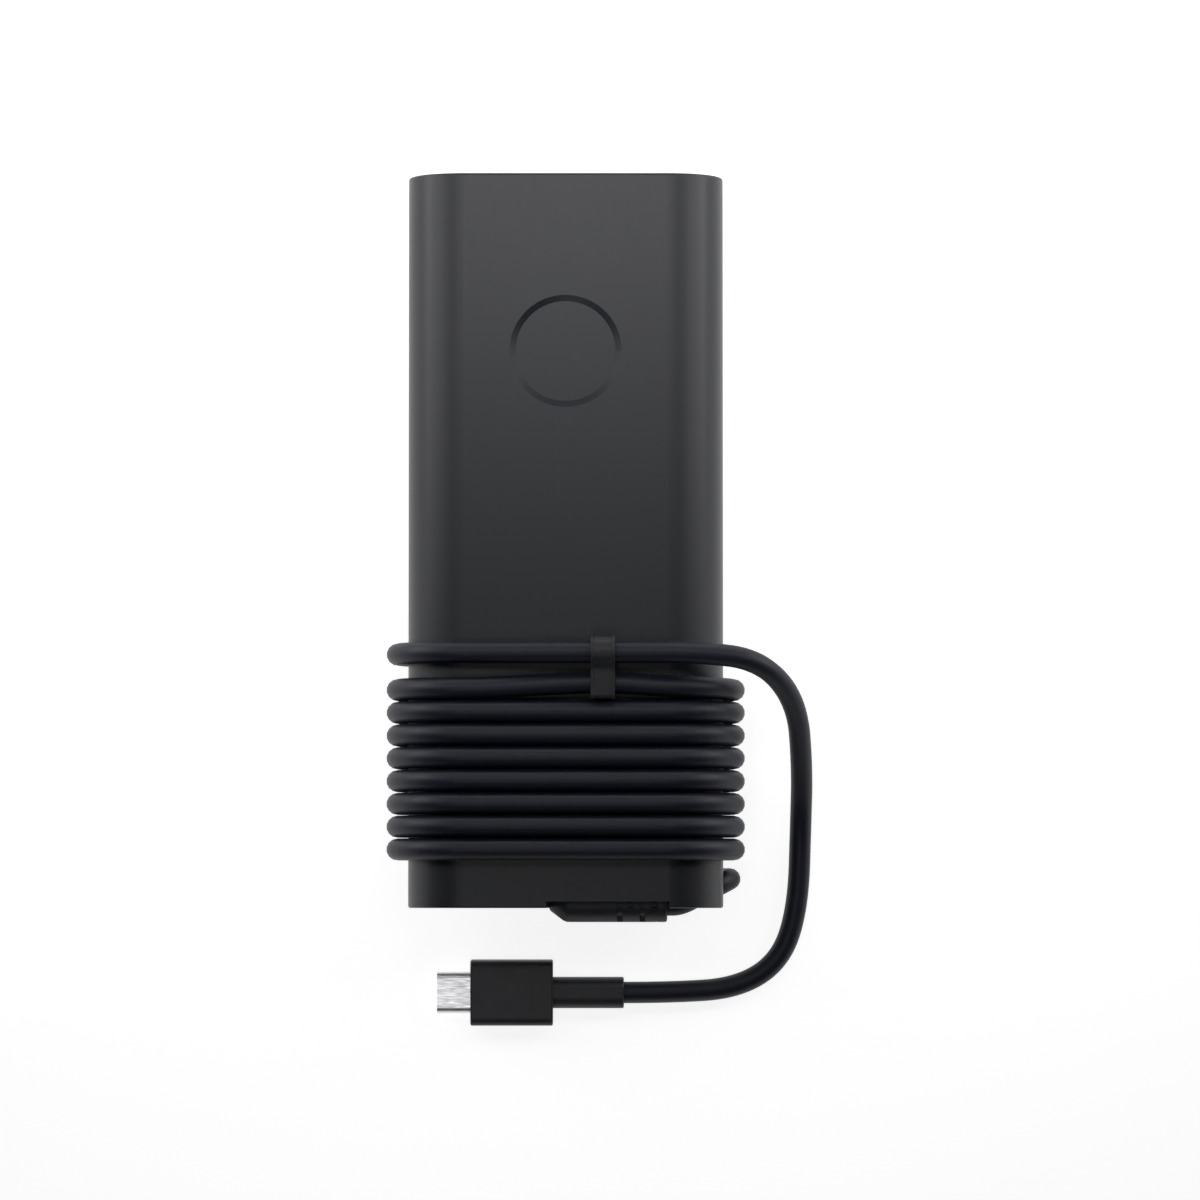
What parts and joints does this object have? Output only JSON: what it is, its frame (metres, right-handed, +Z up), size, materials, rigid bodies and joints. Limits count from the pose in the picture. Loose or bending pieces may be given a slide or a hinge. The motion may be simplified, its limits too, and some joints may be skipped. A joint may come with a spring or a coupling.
{
  "type": "laptop power adapter",
  "caption": "Flat mains adapter with its output cord wound round the case, a rubber cord keeper, an angled exit boot and a small flat oval plug on the free end.",
  "frame": {"origin": "on the desk under the middle of the case", "axes": "+Z up from the desk, +Y along the case towards the mains inlet, +X to the side where the cord leaves the winding"},
  "size_m": [0.0839, 0.1683, 0.0334],
  "materials": {
    "case_plastic": "fine matt texture",
    "blank_label": "smooth satin film",
    "socket_plastic": "smooth",
    "pin_metal": "nickel plated",
    "cord_jacket": "smooth satin",
    "boot_rubber": "satin",
    "keeper_rubber": "satin",
    "plug_plastic": "satin",
    "plug_steel": "nickel plated, drawn",
    "contact_metal": "gold plated",
    "circuit_board": "solder mask",
    "ferrite": "sintered",
    "copper_wire": "enamelled",
    "tape_wrap": "polyester tape",
    "bobbin_plastic": "phenolic",
    "aluminium_sink": "punched sheet",
    "chip_epoxy": "moulded epoxy",
    "capacitor_sleeve": "shrink sleeve",
    "film_box": "moulded box",
    "disc_coating": "dipped coating",
    "tinned_wire": "tinned",
    "insulating_film": "polyester film",
    "pad_rubber": "soft gap filler",
    "copper_sheet": "rolled"
  },
  "bodies": {
    "adapter": {"front_cover": "case_plastic", "back_cover": "case_plastic", "rating_label": "blank_label", "inlet_socket": "socket_plastic", "line_pin": "pin_metal", "neutral_pin": "pin_metal", "earth_pin": "pin_metal", "mains_leads": "tinned_wire", "inlet_fuse": "chip_epoxy", "x_capacitor": "film_box", "choke_core": "ferrite", "choke_winding": "copper_wire", "y_capacitors": "disc_coating", "bridge_rectifier": "chip_epoxy", "primary_heat_sink": "aluminium_sink", "bulk_capacitors": "capacitor_sleeve", "inductor_core": "ferrite", "inductor_winding": "copper_wire", "power_transistors": "chip_epoxy", "transformer_core": "ferrite", "transformer_bobbin": "bobbin_plastic", "transformer_winding": "tape_wrap", "optocoupler": "chip_epoxy", "secondary_heat_sink": "aluminium_sink", "output_rectifiers": "chip_epoxy", "output_capacitors": "aluminium_sink", "control_board": "circuit_board", "output_leads": "tinned_wire", "main_board": "circuit_board", "lower_heat_spreader": "copper_sheet", "lower_film": "insulating_film", "upper_heat_spreader": "copper_sheet", "upper_film": "insulating_film", "thermal_pads": "pad_rubber", "strain_relief_boot": "boot_rubber", "wound_cord": "cord_jacket", "free_cord": "cord_jacket", "plug_boot": "plug_plastic", "plug_body": "plug_plastic", "plug_shell": "plug_steel", "plug_tongue_carrier": "socket_plastic", "plug_contacts": "contact_metal", "plug_latches": "plug_steel", "plug_board": "circuit_board"},
    "keeper": {"cord_keeper": "keeper_rubber"}
  },
  "joints": [
    {"name": "keeper_hinge", "type": "hinge", "parent": "adapter", "child": "keeper", "pos_m": [0.0073, -0.02147, 0.02984], "axis": [-1, 0, 0], "range_deg": [0, 180]}
  ]
}
